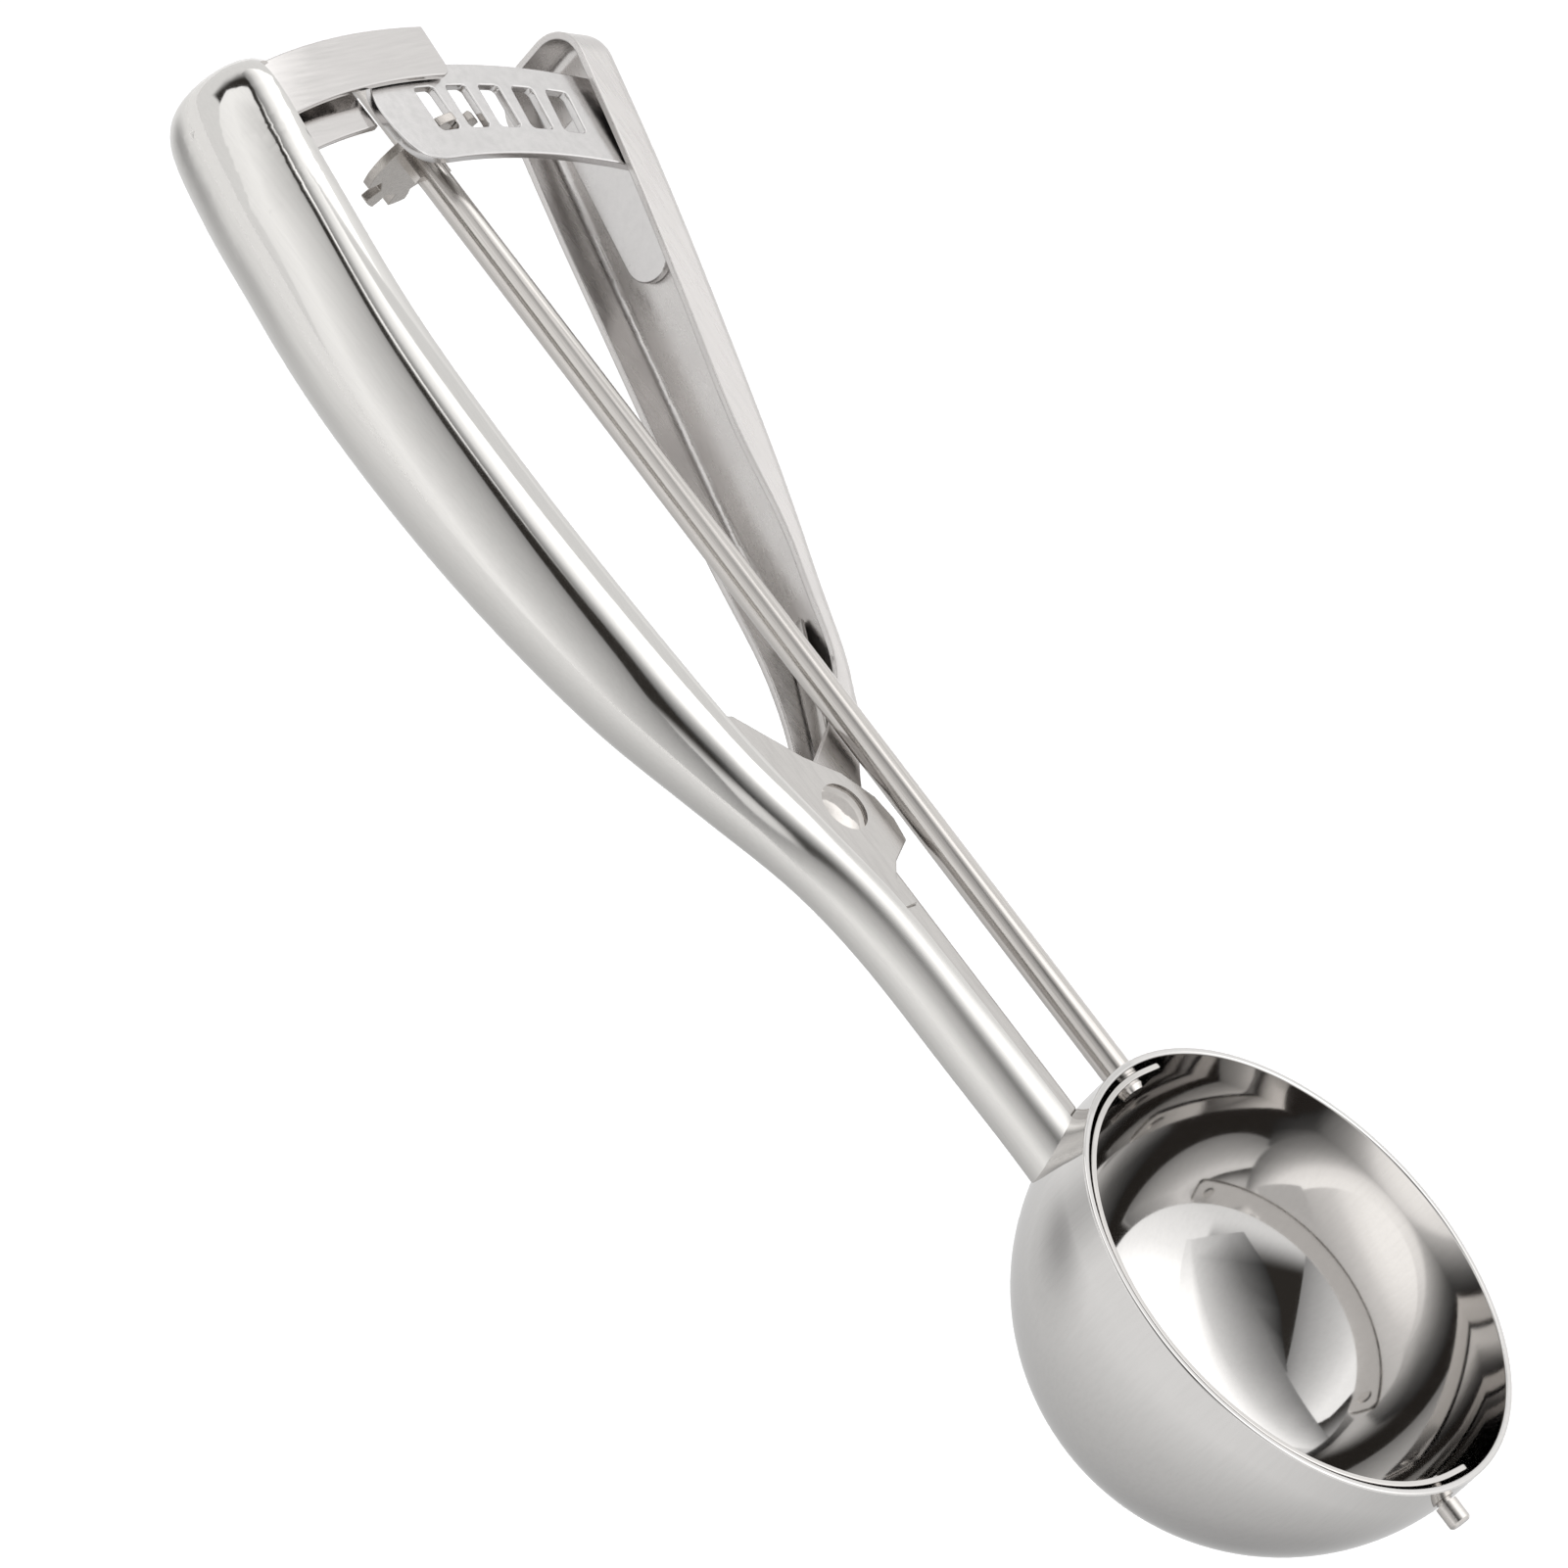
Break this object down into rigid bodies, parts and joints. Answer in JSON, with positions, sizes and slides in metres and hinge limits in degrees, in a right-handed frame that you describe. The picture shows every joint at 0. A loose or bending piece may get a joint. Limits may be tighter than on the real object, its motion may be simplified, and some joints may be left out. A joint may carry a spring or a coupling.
{
  "type": "ice cream scoop",
  "caption": "Trigger ice cream scoop with a round bowl, a sweeping scraper band, a drive rod, and a sprung lever whose windowed rack turns the rod.",
  "frame": {"origin": "centre of the bowl's rim, in the plane of the rim", "axes": "+Z out of the bowl's mouth, +X along the drive rod towards the handles, +Y from the rod towards the main handle"},
  "size_m": [0.2258, 0.0806, 0.0436],
  "materials": {
    "polished_steel": "mirror polished",
    "satin_steel": "satin",
    "sheet_steel": "tumbled satin",
    "spring_steel": "bright rolled"
  },
  "bodies": {
    "handle": {"main_handle": "polished_steel", "bowl": "polished_steel", "pivot_bracket": "sheet_steel", "pivot_rivet": "satin_steel", "rack_guide": "sheet_steel", "lever_spring": "spring_steel"},
    "lever": {"lever_handle": "sheet_steel", "rack": "sheet_steel"},
    "sweep": {"drive_rod": "satin_steel", "pinion": "satin_steel", "scraper": "spring_steel", "scraper_pin": "satin_steel"}
  },
  "joints": [
    {"name": "lever_hinge", "type": "hinge", "parent": "handle", "child": "lever", "pos_m": [0.07675, 0.00985, -0.0092], "axis": [0, 0, 1], "range_deg": [0, 11.2], "stiffness_Nm_per_rad": 2, "springref_deg": -20.05, "deforming": ["lever_spring"]},
    {"name": "scraper_turn", "type": "hinge", "parent": "handle", "child": "sweep", "pos_m": [0, 0, -0.004], "axis": [-1, 0, 0], "range_deg": [0, 156]}
  ],
  "couplings": [
    {"joint": "scraper_turn", "follows": "lever_hinge", "ratio": 13.854}
  ]
}
